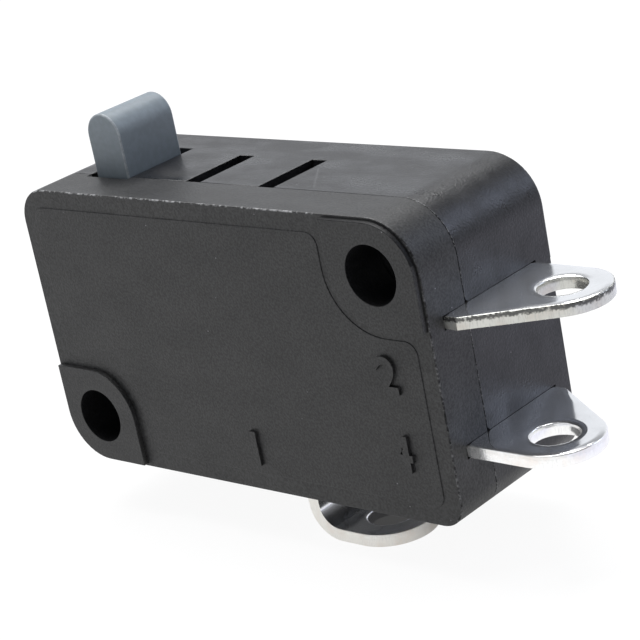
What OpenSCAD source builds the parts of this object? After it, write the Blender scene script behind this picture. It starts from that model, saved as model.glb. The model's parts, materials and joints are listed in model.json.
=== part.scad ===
// Changeover micro switch with a bar plunger and solder lugs.
// Millimetres. The origin is the axis of the lower mounting hole at mid thickness,
// +X runs along the body to the side lugs, +Z to the plunger, and the cover faces -Y.

/* [Body] */
// Distance between the mounting holes along the body
hole_pitch_x = 22.2; // [21:0.1:26]
// Distance between the mounting holes across the body
hole_pitch_z = 10.3; // [10:0.1:13]
// Distance from each mounting hole to its two nearest edges
hole_edge = 2.8; // [2.7:0.05:3.2]
// Radius of the mounting holes
hole_r = 1.55; // [1.3:0.05:1.7]
// Thickness of the body over its pads
body_t = 10.3; // [9.8:0.1:12.4]
// Depth of the cover behind its front rim
cover_d = 2.85; // [2.4:0.05:3.2]
// Thickness of the top, bottom and end walls
wall = 1.3; // [1.1:0.05:1.4]
// Thickness of the front and back walls
face_wall = 1.1; // [0.9:0.05:1.2]
// Radius of the corner beside the plunger
plunger_corner_r = 1.9; // [0.8:0.1:2.4]
// Radius of the corner below the side lugs
lug_corner_r = 1.4; // [0.5:0.1:2]
// Wall of the tubes round the mounting holes
boss_wall = 0.65; // [0.5:0.05:0.7]
// Height of the spigot that centres the cover on each tube
spigot_h = 0.5; // [0.3:0.05:0.8]
// Wall of that spigot
spigot_wall = 0.3; // [0.2:0.05:0.4]

/* [Faces] */
// Height of the raised panel above the front rim
panel_h = 0.07; // [0.05:0.01:0.2]
// Width of the rim round the panel
rim_w = 1; // [0.6:0.05:1.4]
// Radius of the panel's corners
panel_r = 0.7; // [0.3:0.05:1.2]
// Height of the pads round the holes above the front rim
front_pad_h = 0.3; // [0.22:0.02:0.4]
// Height of the pads above the back
back_pad_h = 0.2; // [0.1:0.02:0.4]
// Radius of the pads towards the middle of the body
pad_r = 2.75; // [2.5:0.05:3]
// Distance of the pads from the edges of the body
pad_inset = 0.15; // [0.1:0.01:0.3]
// Width of the rim between a pad and the panel
pad_band = 0.6; // [0.3:0.05:0.8]

/* [Plunger] */
// Distance of the plunger from the lower hole's axis
plunger_x = 1.95; // [1.8:0.05:2.4]
// Width of the plunger along the body
plunger_w = 2.5; // [2.2:0.05:2.7]
// Length of the plunger across the body
plunger_l = 4.1; // [3.4:0.1:4.6]
// Height of the plunger above the body when free
plunger_rise = 3.47; // [2.8:0.05:4]
// Full travel of the plunger
plunger_travel = 2.2; // [1.6:0.1:2.4]
// Thickness of the foot that keeps the plunger in
foot_t = 1.15; // [0.9:0.05:1.4]
// How far the foot stands out past the stem on three sides
foot_lip = 0.8; // [0.5:0.05:1.1]
// Height of the guide collar below the top wall
collar_h = 1.2; // [0.8:0.1:1.6]
// Wall of the guide collar
collar_wall = 1; // [0.7:0.1:1.2]
// Gap in the top wall left of the plunger
gap_left = 0.5; // [0.1:0.05:0.6]
// Gap in the top wall right of the plunger
gap_right = 0.2; // [0.1:0.05:0.3]
// Gap in the cover before the plunger
gap_front = 0.3; // [0.1:0.05:0.4]
// Gap in the top wall behind the plunger
gap_back = 0.7; // [0.2:0.05:0.9]

/* [Lever slots] */
// Distance of the first slot from the lower hole's axis
slot_x = 8.05; // [7.4:0.05:9]
// Distance between the two slots
slot_pitch = 5.2; // [4:0.05:6]
// Width of a slot
slot_w = 1.05; // [0.6:0.05:1.2]
// Length of a slot behind the parting line
slot_l = 4.2; // [3:0.1:5]
// Depth of a slot
slot_d = 1.5; // [1:0.1:1.8]
// Thickness of the wall round the inside of a slot
slot_wall = 0.7; // [0.5:0.05:0.9]

/* [Terminals] */
// Width of a lug where it leaves the body
terminal_w = 7.3; // [6.8:0.1:7.5]
// Thickness of the terminal sheet
terminal_t = 0.7; // [0.6:0.05:0.85]
// Width of the strips inside the body
strip_w = 6.4; // [5.8:0.1:6.6]
// Radius of a lug's round end
lug_r = 2.5; // [2.2:0.05:2.9]
// Radius of a lug's eyelet
eyelet_r = 1.25; // [0.9:0.05:1.4]
// Distance of the side eyelets from the end wall
lug_reach = 3.4; // [3:0.1:5]
// Length of a lug's straight root
lug_root = 0.65; // [0.3:0.05:1]
// Height of the normally closed strip's underside above the lower hole
nc_z = 7.25; // [7:0.05:7.25]
// Height of the normally open lug's underside above the lower hole
no_z = 0.55; // [0:0.05:0.8]
// Distance of the common strip from the lower hole's axis
common_x = 13.4; // [12:0.1:14.5]
// Distance of the common lug's top face below the body
common_drop = 2.25; // [2:0.05:4]
// Distance of the common eyelet from the strip
common_reach = 2.65; // [2.6:0.05:4]
// Inner radius of the common lug's bend
common_bend_r = 1.2; // [0.3:0.05:1.3]
// Gap in the cover before each terminal
terminal_gap = 0.15; // [0.1:0.05:0.4]
// Depth of the chamfers where the case's terminal slots open
lead_in = 0.15; // [0.05:0.01:0.25]
// Length of a strip past its contact's head
strip_tail = 0.35; // [0.2:0.05:0.6]
// Distance of the normally open strip's step from its contact's head
step_gap = 1.85; // [1.6:0.05:2]
// Length of that step along the body
step_l = 1.4; // [1:0.1:1.5]
// Width of the post that locks the side terminals
lock_w = 0.7; // [0.5:0.05:0.9]
// Distance of that post from the end wall
lock_gap = 0.4; // [0.3:0.05:0.5]
// Height of that post above the normally closed strip
lock_rise = 0.3; // [0.2:0.05:0.4]
// Depth of the notches round that post
lock_d = 0.7; // [0.5:0.05:0.9]

/* [Contacts] */
// Distance of the contacts from the end wall's inner face
contact_inset = 6.7; // [6.4:0.1:7.4]
// Radius of the contact heads
contact_r = 1.75; // [1.4:0.05:2]
// Height of a fixed contact's head
fixed_h = 0.7; // [0.5:0.05:0.9]
// Height of each head of the moving contact
moving_h = 0.5; // [0.35:0.05:0.7]
// Rise of the moving contact's domed faces
dome_h = 0.2; // [0.1:0.02:0.3]
// Gap that is left where contacts meet
touch = 0.03; // [0.02:0.01:0.05]
// Open gap between the contacts
contact_gap = 1; // [0.8:0.05:1.2]
// Radius of the contact shanks
shank_r = 0.9; // [0.6:0.05:1.1]
// Height of the closing head on a fixed contact
tail_h = 0.25; // [0.15:0.05:0.3]
// Width of the closing head round the shank
tail_lip = 0.4; // [0.2:0.05:0.5]

/* [Contact arm] */
// Thickness of the contact arm
arm_t = 0.8; // [0.6:0.05:1]
// Distance of the arm's pivot from the lower hole's axis
pivot_x = 6.8; // [6.5:0.1:7.4]
// Width of each leg of the arm
leg_w = 1.2; // [0.9:0.05:1.3]
// Room between the legs for the spring
leg_gap = 3.1; // [2.9:0.1:3.4]
// Width of the arm round the moving contact
arm_tip_r = 2; // [1.9:0.05:2.4]
// Distance of the spring's eye from the moving contact
arm_eye = 3.05; // [2.8:0.05:3.4]
// Radius of the eyes that hold the spring
eye_r = 0.36; // [0.34:0.01:0.45]
// Metal between the arm's window and the spring's eye
eye_web = 0.4; // [0.3:0.05:0.5]

/* [Pivot bracket] */
// Thickness of the bracket sheet
bracket_t = 0.8; // [0.6:0.05:0.9]
// Inner radius of the bracket's bends
bracket_bend_r = 0.25; // [0.15:0.05:0.4]
// Width of the bracket's ears
ear_w = 1.95; // [1.5:0.05:2.2]
// Height of the ears above the arm's pivot
ear_top = 0.9; // [0.7:0.05:1.1]
// How far the ears reach past the arm's pivot
ear_hook = 0.15; // [0.1:0.05:0.25]
// Length of the bracket's base past the ears
base_l = 2.9; // [2.5:0.1:3.4]
// Radius of the bracket rivets
rivet_r = 0.5; // [0.4:0.05:0.6]
// Width of the rivet heads round their shanks
rivet_lip = 0.4; // [0.3:0.05:0.5]
// Distance of the rivets from the end of the base
rivet_edge = 0.9; // [0.9:0.05:1.2]
// Height of the rivet heads
rivet_head_h = 0.35; // [0.25:0.05:0.5]
// Distance between the two rivets
rivet_pitch = 2.4; // [2.2:0.1:3]

/* [Actuating lever] */
// Radius of the lever's pin
pin_r = 0.45; // [0.35:0.05:0.5]
// Distance of the pin's ends from the front and back walls
pin_inset = 0.25; // [0.15:0.05:0.5]
// Wall round the pin in the lever and its bosses
hub_wall = 0.45; // [0.35:0.05:0.5]
// Width of the lever
lever_w = 3; // [2.6:0.1:3.3]
// Thickness of the lever's finger
finger_t = 0.9; // [0.7:0.05:1]
// Distance of the finger's tip past the stem
finger_over = 1.3; // [0.9:0.05:1.5]
// Thickness of the web that holds the spring
web_t = 0.6; // [0.5:0.05:0.7]
// Metal round the spring's eye in the web
web_rim = 0.34; // [0.3:0.02:0.45]
// Distance of the spring's eye in the lever before the arm's pivot
lever_eye_x = 2.35; // [2.2:0.05:2.6]
// Height of that eye above the arm's pivot when free
lever_eye_z = 1; // [0.8:0.05:1.2]

/* [Snap spring] */
// Mean radius of the coil
coil_r = 0.9; // [0.8:0.05:1]
// Radius of the spring wire
wire_r = 0.16; // [0.12:0.01:0.18]
// Full turns of the coil, and a quarter more
coil_turns = 14; // [10:1:18]

/* [Fits] */
// Clearance round pieces that stay put
fit = 0.05; // [0.03:0.01:0.08]
// Clearance between a terminal's faces and its slot
sheet_fit = 0.02; // [0.01:0.01:0.05]
// Clearance round pieces that move
run = 0.08; // [0.06:0.01:0.1]
// Clearance between stops that meet
stop_gap = 0.1; // [0.08:0.01:0.12]

/* [Hidden] */
$fn = 64;

// How far a cut runs past the face that it opens
over = 0.1;

// Outer box of the body
left = -hole_edge;
right = hole_pitch_x + hole_edge;
bottom = -hole_edge;
top = hole_pitch_z + hole_edge;
front = front_pad_h - body_t / 2;
back = body_t / 2 - back_pad_h;
parting = front + cover_d;
holes = [[0, 0], [hole_pitch_x, hole_pitch_z]];
boss_r = hole_r + boss_wall;
spigot_r = hole_r + spigot_wall;

// Hollow of the body
floor_z = bottom + wall;
ceiling = top - wall;
inner_left = left + wall;
inner_right = right - wall;
hollow_front = front + face_wall;
hollow_back = back - face_wall;
inner_r = 0.4;

// Plunger and its guide
stem_left = plunger_x - plunger_w / 2;
stem_right = plunger_x + plunger_w / 2;
stem_front = -plunger_l / 2;
stem_back = plunger_l / 2;
collar_z = ceiling - collar_h;
foot_top = collar_z - fit;
foot_z = foot_top - foot_t;
crown_z = top + plunger_rise - plunger_w / 2;
foot_right = stem_right + finger_over + foot_lip;

// Lever slots
slot_floor = top - slot_d;

// Contact stack, from the closed contact downwards
contact_x = inner_right - contact_inset;
nc_face = nc_z - fixed_h;
pivot_z = nc_face - touch - moving_h - arm_t / 2;
no_face = nc_face - touch - 2 * moving_h - arm_t - contact_gap;
no_inner = no_face - fixed_h - terminal_t;
strip_end = contact_x - contact_r - strip_tail;
dome_r = (contact_r * contact_r + dome_h * dome_h) / (2 * dome_h);

// Terminals
lug_side = terminal_w / 2 - lug_r;
step_x = contact_x + contact_r + step_gap;
lock_x = inner_right - lock_w - lock_gap;
common_z = bottom - common_drop - terminal_t;

// Pivot bracket on the common terminal's foot
foot_plate_z = floor_z + terminal_t;
ear_right = pivot_x + ear_hook;
ear_left = ear_right - ear_w;
ear_inner = leg_gap / 2 + leg_w / 2 - bracket_t / 2;
ear_outer = ear_inner + bracket_t;
base_right = ear_right + base_l;
rivet_x = base_right - rivet_edge;

// Lever, drawn as it lies at full travel and turned up by lever_lift when free
hub_r = pin_r + hub_wall;
lever_x = inner_left + hub_r + fit;
lever_z = foot_z - plunger_travel;
tip_r = finger_t / 2;
tip_x = stem_right + finger_over - lever_x;
tip_z = -stop_gap - tip_r;
tip_reach = norm([tip_x, tip_z]);
tip_low = atan2(tip_z, tip_x);
tip_free_z = plunger_travel - stop_gap - tip_r;
lever_lift = asin(tip_free_z / tip_reach) - tip_low;
boss_face = lever_w / 2 + stop_gap;
pin_end = hollow_back - pin_inset;

// Ends of the snap spring when free
arm_eye_x = contact_x - arm_eye;
window_right = arm_eye_x - eye_r - eye_web;
lever_eye = [pivot_x - lever_eye_x, pivot_z + lever_eye_z];
spring_run = [arm_eye_x - lever_eye[0], pivot_z - lever_eye[1]];
spring_l = norm(spring_run);
spring_tilt = atan2(spring_run[1], spring_run[0]);

// Turns a point in the XZ plane upwards by an angle
function turned(p, a) = [p[0] * cos(a) - p[1] * sin(a), p[0] * sin(a) + p[1] * cos(a)];

// Spring's eye in the lever, seen from the pin at full travel
web_eye = turned(lever_eye - [lever_x, lever_z], -lever_lift);

// Extrudes a drawing in the XZ plane from one depth to another
module prism(y_from, y_to) {
    translate([0, y_to, 0])
        rotate([90, 0, 0])
            linear_extrude(height = y_to - y_from)
                children();
}

// Extrudes a drawing in the YZ plane from one end to another
module along_x(x_from, x_to) {
    translate([x_from, 0, 0])
        rotate([90, 0, 90])
            linear_extrude(height = x_to - x_from)
                children();
}

// Box between two corners
module block(low, high) {
    translate(low)
        cube(high - low);
}

// Round bar along Y
module bar(x, z, r, y_from, y_to) {
    translate([x, y_to, z])
        rotate([90, 0, 0])
            cylinder(r = r, h = y_to - y_from);
}

// What a rounding takes off a corner, the signs pointing into the sheet
module corner_cut(corner, inward, r) {
    difference() {
        translate(corner + inward * (r - over) / 2)
            square(r + over, center = true);
        translate(corner + inward * r)
            circle(r = r);
    }
}

// Rectangle whose four corners have their own radii, from lower left round to upper left
module plate(low, high, radii) {
    corners = [[low[0], low[1]], [high[0], low[1]], [high[0], high[1]], [low[0], high[1]]];
    inward = [[1, 1], [-1, 1], [-1, -1], [1, -1]];
    difference() {
        translate(low)
            square(high - low);
        for (i = [0:3])
            corner_cut(corners[i], inward[i], radii[i]);
    }
}

// Outline of the body, shrunk by an inset
module outline(inset) {
    hole_corner = max(hole_edge - inset, inner_r);
    radii = [
        hole_corner,
        max(lug_corner_r - inset, inner_r),
        hole_corner,
        max(plunger_corner_r - inset, inner_r),
    ];
    plate([left + inset, bottom + inset], [right - inset, top - inset], radii);
}

// Leaf shaped pad: round towards the middle and the corner, square towards both edges
module leaf(r) {
    circle(r = r);
    translate([-r, 0])
        square(r);
    translate([0, -r])
        square(r);
}

// Slots that the three terminals leave the body through
module terminal_slots() {
    y_from = -terminal_w / 2 - terminal_gap;
    y_to = terminal_w / 2 + fit;
    for (z = [nc_z, no_z])
        block(
            [inner_right - over, y_from, z - sheet_fit],
            [right + over, y_to, z + terminal_t + sheet_fit]
        );
    block(
        [common_x - sheet_fit, y_from, bottom - over],
        [common_x + terminal_t + sheet_fit, y_to, floor_z + over]
    );
}

// Chamfers that guide the side terminals into the case
module lead_ins() {
    side = lead_in * sqrt(2);
    for (z = [nc_z, no_z])
        for (face = [z - sheet_fit, z + terminal_t + sheet_fit])
            translate([inner_right - over, parting, face])
                rotate([45, 0, 0])
                    translate([0, -side / 2, -side / 2])
                        cube([wall + 2 * over, side, side]);
}

// Opening for the plunger: wide at the top, a close guide below
module plunger_opening() {
    block(
        [stem_left - run, stem_front - run, collar_z - over],
        [stem_right + run, stem_back + run, top + over]
    );
    block(
        [stem_left - gap_left, stem_front - gap_front, ceiling],
        [stem_right + gap_right, stem_back + gap_back, top + over]
    );
}

// Raised pads of one face round both holes
module pads(y_from, y_to) {
    prism(y_from, y_to)
        intersection() {
            outline(pad_inset);
            union() {
                for (h = holes)
                    translate(h)
                        leaf(pad_r);
            }
        }
}

// Mounting bores through the whole body
module mounting_bores() {
    for (h = holes)
        bar(h[0], h[1], hole_r, -body_t / 2 - over, body_t / 2 + over);
}

// Walls that stand in the hollow of either shell: tubes, guide collar and pin boss
module inner_walls(y_from, y_to) {
    intersection() {
        prism(y_from, y_to)
            outline(wall / 2);
        union() {
            for (h = holes)
                bar(h[0], h[1], boss_r, y_from, y_to);
            block(
                [left, y_from, collar_z],
                [stem_right + run + collar_wall, y_to, top]
            );
        }
    }
}

// Rear shell
module case() {
    color([0.21, 0.21, 0.22])
        difference() {
            union() {
                difference() {
                    prism(parting, back)
                        outline(0);
                    prism(parting - over, hollow_back)
                        outline(wall);
                }
                pads(back - over, back + back_pad_h);
                inner_walls(parting, hollow_back + over);
                bar(lever_x, lever_z, hub_r, boss_face, hollow_back + over);
                for (h = holes)
                    bar(h[0], h[1], spigot_r, parting - spigot_h, parting + over);
                slot_pockets();
                lock_post();
            }
            mounting_bores();
            plunger_opening();
            terminal_slots();
            lead_ins();
            lever_slots();
            bar(lever_x, lever_z, pin_r, boss_face - over, pin_end);
        }
}

// Thickened wall round the lever slots
module slot_pockets() {
    for (i = [0, 1]) {
        x = slot_x + i * slot_pitch;
        block(
            [x - slot_w / 2 - slot_wall, parting, slot_floor - slot_wall],
            [x + slot_w / 2 + slot_wall, parting + slot_l + slot_wall, ceiling + over]
        );
    }
}

// Slots in the top wall that an outer lever can hook into
module lever_slots() {
    for (i = [0, 1]) {
        x = slot_x + i * slot_pitch;
        block(
            [x - slot_w / 2, parting - over, slot_floor],
            [x + slot_w / 2, parting + slot_l, top + over]
        );
    }
}

// Post on the back wall that the side terminals' notches fit round
module lock_post() {
    block(
        [lock_x, strip_w / 2 - lock_d + fit, floor_z - over],
        [lock_x + lock_w, hollow_back + over, nc_z + terminal_t + lock_rise]
    );
}

// Front shell
module cover() {
    color([0.2, 0.2, 0.21])
        difference() {
            union() {
                difference() {
                    prism(front, parting)
                        outline(0);
                    prism(hollow_front, parting + over)
                        outline(wall);
                }
                prism(front - panel_h, front + over)
                    front_panel();
                pads(front - front_pad_h, front + over);
                inner_walls(hollow_front - over, parting);
                bar(lever_x, lever_z, hub_r, hollow_front - over, -boss_face);
            }
            mounting_bores();
            plunger_opening();
            terminal_slots();
            for (h = holes)
                bar(h[0], h[1], spigot_r + fit, parting - spigot_h - fit, parting + over);
            bar(lever_x, lever_z, pin_r, -pin_end, -boss_face + over);
        }
}

// Drawing of the raised panel on the front, which leaves room round both pads
module front_panel() {
    low = [left + rim_w, bottom + rim_w];
    high = [right - rim_w, top - rim_w];
    gap_r = pad_r + pad_band;
    difference() {
        plate(low, high, [panel_r, panel_r, panel_r, panel_r]);
        for (i = [0, 1]) {
            aside = 1 - 2 * i;
            inward = [aside, aside];
            end = i == 0 ? low : high;
            bay = holes[i] + inward * gap_r;
            translate(holes[i])
                leaf(gap_r);
            corner_cut([bay[0], end[1]], inward, panel_r);
            corner_cut([end[0], bay[1]], inward, panel_r);
        }
    }
}

// Bar plunger with a full round crown and the foot that keeps it in
module plunger() {
    color([0.47, 0.5, 0.55])
        union() {
            block([stem_left, stem_front, foot_z], [stem_right, stem_back, crown_z]);
            bar(plunger_x, crown_z, plunger_w / 2, stem_front, stem_back);
            block(
                [stem_left, stem_front - foot_lip, foot_z],
                [foot_right, stem_back + foot_lip, foot_top]
            );
        }
}

// Inner lever that the plunger presses and the spring lifts
module actuating_lever() {
    half = lever_w / 2;
    color([0.75, 0.72, 0.64])
        translate([lever_x, 0, lever_z])
            rotate([0, -lever_lift, 0])
                difference() {
                    union() {
                        bar(0, 0, hub_r, -half, half);
                        block([0, -half, tip_z - tip_r], [tip_x, half, tip_z + tip_r]);
                        bar(tip_x, tip_z, tip_r, -half, half);
                        prism(-web_t / 2, web_t / 2)
                            lever_web();
                    }
                    bar(0, 0, pin_r + run, -half - over, half + over);
                    bar(web_eye[0], web_eye[1], eye_r, -web_t, web_t);
                }
}

// Drawing of the web below the finger that ends in the spring's eye
module lever_web() {
    r = eye_r + web_rim;
    translate(web_eye)
        circle(r = r);
    polygon([
        web_eye + [-r, 0],
        web_eye + [r, 0],
        [tip_x, tip_z],
        [tip_x - 2 * r, tip_z],
    ]);
}

// Pin that the lever turns on
module lever_pin() {
    color([0.7, 0.7, 0.72])
        bar(lever_x, lever_z, pin_r, -pin_end, pin_end);
}

// Contact arm, forked round the spring, with rounded knife ends at its pivot
module contact_arm() {
    inner = leg_gap / 2;
    outer = inner + leg_w;
    color([0.8, 0.62, 0.3])
        difference() {
            union() {
                for (side = [-1, 1]) {
                    y = side * (inner + outer) / 2;
                    bar(pivot_x, pivot_z, arm_t / 2, y - leg_w / 2, y + leg_w / 2);
                    block(
                        [pivot_x, y - leg_w / 2, pivot_z - arm_t / 2],
                        [window_right + over, y + leg_w / 2, pivot_z + arm_t / 2]
                    );
                }
                translate([0, 0, pivot_z - arm_t / 2])
                    linear_extrude(height = arm_t)
                        arm_head(outer);
            }
            translate([contact_x, 0, pivot_z - arm_t])
                cylinder(r = shank_r, h = 2 * arm_t);
            translate([arm_eye_x, 0, pivot_z - arm_t])
                cylinder(r = eye_r, h = 2 * arm_t);
        }
}

// Drawing of the arm's head from the window to its round end
module arm_head(outer) {
    translate([contact_x, 0])
        circle(r = arm_tip_r);
    polygon([
        [window_right, -outer],
        [contact_x, -arm_tip_r],
        [contact_x, arm_tip_r],
        [window_right, outer],
    ]);
}

// Rivet along Z from the face of its head: head, shank and closing head
module rivet(head_r, head_h, r, grip, close_r, close_h) {
    cylinder(r = head_r, h = head_h);
    cylinder(r = r, h = head_h + grip + close_h);
    translate([0, 0, head_h + grip])
        cylinder(r = close_r, h = close_h);
}

// Domed head of the moving contact, its flat side at zero height
module domed_head() {
    intersection() {
        cylinder(r = contact_r, h = moving_h);
        translate([0, 0, moving_h - dome_r])
            sphere(r = dome_r, $fn = 128);
    }
}

// Double headed contact through the end of the arm
module moving_contact() {
    color([0.85, 0.85, 0.83])
        translate([contact_x, 0, pivot_z])
            union() {
                translate([0, 0, arm_t / 2])
                    domed_head();
                translate([0, 0, -arm_t / 2])
                    rotate([180, 0, 0])
                        domed_head();
                translate([0, 0, -arm_t / 2 - over])
                    cylinder(r = shank_r, h = arm_t + 2 * over);
            }
}

// Fixed contact under the normally closed strip
module nc_contact() {
    color([0.85, 0.85, 0.83])
        translate([contact_x, 0, nc_face])
            rivet(contact_r, fixed_h, shank_r, terminal_t, shank_r + tail_lip, tail_h);
}

// Fixed contact on the normally open strip
module no_contact() {
    color([0.85, 0.85, 0.83])
        translate([contact_x, 0, no_face])
            rotate([180, 0, 0])
                rivet(contact_r, fixed_h, shank_r, terminal_t, shank_r + tail_lip, tail_h);
}

// Points of the coil's centre line, from the lever's end
coil_steps = 12;
wire_sides = 6;
coil_rings = (coil_turns + 0.25) * coil_steps;
coil_l = spring_l - 2 * coil_r;
function coil_angle(i) = 360 * i / coil_steps;
function wire_point(i, j) =
    let (a = coil_angle(i), b = 360 * j / wire_sides, r = coil_r + wire_r * cos(b))
    [coil_r + coil_l * i / coil_rings + wire_r * sin(b), r * cos(a), r * sin(a)];

// Coil of the spring as a swept wire along X
module coil() {
    points = [for (i = [0:coil_rings]) for (j = [0:wire_sides - 1]) wire_point(i, j)];
    sides = [
        for (i = [0:coil_rings - 1])
            for (j = [0:wire_sides - 1])
                let (k = (j + 1) % wire_sides, n = i * wire_sides)
                    [n + j, n + k, n + wire_sides + k, n + wire_sides + j]
    ];
    first = [for (j = [wire_sides - 1:-1:0]) j];
    last = [for (j = [0:wire_sides - 1]) coil_rings * wire_sides + j];
    polyhedron(points, concat(sides, [first, last]));
}

// Half round hook in the XY plane that bulges to -X from the coil's axis
module hook() {
    rotate([0, 0, 90])
        rotate_extrude(angle = 180)
            translate([coil_r, 0])
                circle(r = wire_r, $fn = 24);
}

// Tension spring between the lever and the arm
module snap_spring() {
    color([0.72, 0.72, 0.75])
        translate([lever_eye[0], 0, lever_eye[1]])
            rotate([0, -spring_tilt, 0])
                union() {
                    coil();
                    translate([coil_r, 0, 0])
                        hook();
                    translate([spring_l - coil_r, 0, 0])
                        rotate([90, 0, 0])
                            rotate([0, 0, 180])
                                hook();
                }
}

// U shaped bracket whose ears hold the arm's knife ends
module pivot_bracket() {
    ear_z = pivot_z + ear_top;
    bend_out = bracket_bend_r + bracket_t;
    bend = [ear_outer - bend_out, foot_plate_z + bend_out];
    color([0.78, 0.6, 0.28])
        difference() {
            union() {
                block(
                    [ear_right, -ear_outer, foot_plate_z],
                    [base_right, ear_outer, foot_plate_z + bracket_t]
                );
                block(
                    [ear_left, -bend[0], foot_plate_z],
                    [ear_right, bend[0], foot_plate_z + bracket_t]
                );
                for (side = [-1, 1]) {
                    y = side * (ear_inner + ear_outer) / 2;
                    block([ear_left, y - bracket_t / 2, bend[1]], [ear_right, y + bracket_t / 2, ear_z]);
                    along_x(ear_left, ear_right)
                        quarter_ring([side * bend[0], bend[1]], bend_out, bracket_bend_r, [side, -1]);
                }
            }
            bar(pivot_x, pivot_z, arm_t / 2 + run, -ear_outer - over, ear_outer + over);
            bracket_bores();
        }
}

// Places of the two bracket rivets
module at_rivets() {
    for (side = [-1, 1])
        translate([rivet_x, side * rivet_pitch / 2, 0])
            children();
}

// Bores for the bracket rivets
module bracket_bores() {
    at_rivets()
        translate([0, 0, floor_z - over])
            cylinder(r = rivet_r, h = terminal_t + bracket_t + 2 * over);
}

// Rivets that fix the bracket to the common terminal
module bracket_rivets() {
    color([0.8, 0.66, 0.36])
        at_rivets()
            union() {
                translate([0, 0, floor_z])
                    cylinder(r = rivet_r, h = terminal_t + bracket_t + rivet_head_h);
                translate([0, 0, foot_plate_z + bracket_t])
                    cylinder(r = rivet_r + rivet_lip, h = rivet_head_h);
            }
}

// Outline of a lug from its root to its round end, the eyelet shifted to one side
module lug_outline(root_from, root_to, eye_x, side) {
    eye = [eye_x, lug_side];
    corner = [root_to, -terminal_w / 2];
    aim = atan2(eye[1] - corner[1], eye[0] - corner[0]);
    slant = aim - asin(lug_r / norm(eye - corner));
    mirror([0, side < 0 ? 1 : 0])
        difference() {
            intersection() {
                union() {
                    translate([root_from, -terminal_w / 2])
                        square([root_to - root_from, terminal_w]);
                    polygon([
                        corner,
                        eye + lug_r * [sin(slant), -cos(slant)],
                        eye,
                        [eye_x, terminal_w / 2],
                        [root_to, terminal_w / 2],
                    ]);
                    translate(eye)
                        circle(r = lug_r);
                }
                translate([root_from, -terminal_w])
                    square([eye_x + lug_r + over - root_from, 2 * terminal_w]);
            }
            translate(eye)
                circle(r = eyelet_r);
        }
}

// Lug plate of a side terminal with its root through the end wall
module side_lug(z, side) {
    translate([0, 0, z])
        linear_extrude(height = terminal_t)
            lug_outline(inner_right, right + lug_root, right + lug_reach, side);
}

// Notch round the lock post in a strip's back edge
module strip_notch(z) {
    block(
        [lock_x - fit, strip_w / 2 - lock_d, z - over],
        [lock_x + lock_w + fit, strip_w / 2 + over, z + terminal_t + over]
    );
}

// Normally closed terminal: lug outside, straight strip inside
module nc_terminal() {
    color([0.82, 0.82, 0.8])
        difference() {
            union() {
                side_lug(nc_z, 1);
                block(
                    [strip_end, -strip_w / 2, nc_z],
                    [inner_right + over, strip_w / 2, nc_z + terminal_t]
                );
            }
            strip_notch(nc_z);
            translate([contact_x, 0, nc_z - over])
                cylinder(r = shank_r, h = terminal_t + 2 * over);
        }
}

// Normally open terminal: lug outside, strip stepped up to its contact inside
module no_terminal() {
    color([0.82, 0.82, 0.8])
        difference() {
            union() {
                side_lug(no_z, -1);
                prism(-strip_w / 2, strip_w / 2)
                    polygon([
                        [strip_end, no_inner],
                        [step_x, no_inner],
                        [step_x + step_l, no_z],
                        [inner_right + over, no_z],
                        [inner_right + over, no_z + terminal_t],
                        [step_x + step_l, no_z + terminal_t],
                        [step_x, no_inner + terminal_t],
                        [strip_end, no_inner + terminal_t],
                    ]);
            }
            strip_notch(no_z);
            translate([contact_x, 0, no_inner - over])
                cylinder(r = shank_r, h = terminal_t + 2 * over);
        }
}

// Quarter ring round a centre, in the quadrant that a pair of signs gives
module quarter_ring(centre, r, bore_r, signs) {
    intersection() {
        difference() {
            translate(centre)
                circle(r = r);
            if (bore_r > 0)
                translate(centre)
                    circle(r = bore_r);
        }
        translate(centre + signs * r / 2)
            square(r, center = true);
    }
}

// Common terminal: foot plate inside, strip through the bottom wall, lug bent forwards below
module common_terminal() {
    strip_right = common_x + terminal_t;
    bend = [strip_right + common_bend_r, common_z + terminal_t + common_bend_r];
    color([0.82, 0.82, 0.8])
        difference() {
            union() {
                block([ear_left, -strip_w / 2, floor_z], [common_x, strip_w / 2, foot_plate_z]);
                prism(-strip_w / 2, strip_w / 2)
                    quarter_ring([common_x, floor_z], terminal_t, 0, [1, 1]);
                block([common_x, -terminal_w / 2, bend[1]], [strip_right, terminal_w / 2, floor_z]);
                prism(-terminal_w / 2, terminal_w / 2)
                    quarter_ring(bend, common_bend_r + terminal_t, common_bend_r, [-1, -1]);
                translate([0, 0, common_z])
                    linear_extrude(height = terminal_t)
                        lug_outline(bend[0], bend[0] + lug_root, strip_right + common_reach, -1);
            }
            bracket_bores();
        }
}

case();
cover();
plunger();
actuating_lever();
lever_pin();
contact_arm();
moving_contact();
snap_spring();
pivot_bracket();
bracket_rivets();
common_terminal();
nc_terminal();
no_terminal();
nc_contact();
no_contact();
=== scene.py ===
"""Looks of a changeover micro switch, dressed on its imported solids.

Lengths are metres in the part's own frame: +X runs along the body to the side lugs,
+Y along the mounting holes to the back of the case, and +Z to the plunger.
"""
import json
import logging
import math
from collections import Counter
from collections.abc import Callable
from dataclasses import dataclass, field
from enum import Enum

import bpy
from mathutils import Matrix, Vector

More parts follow.
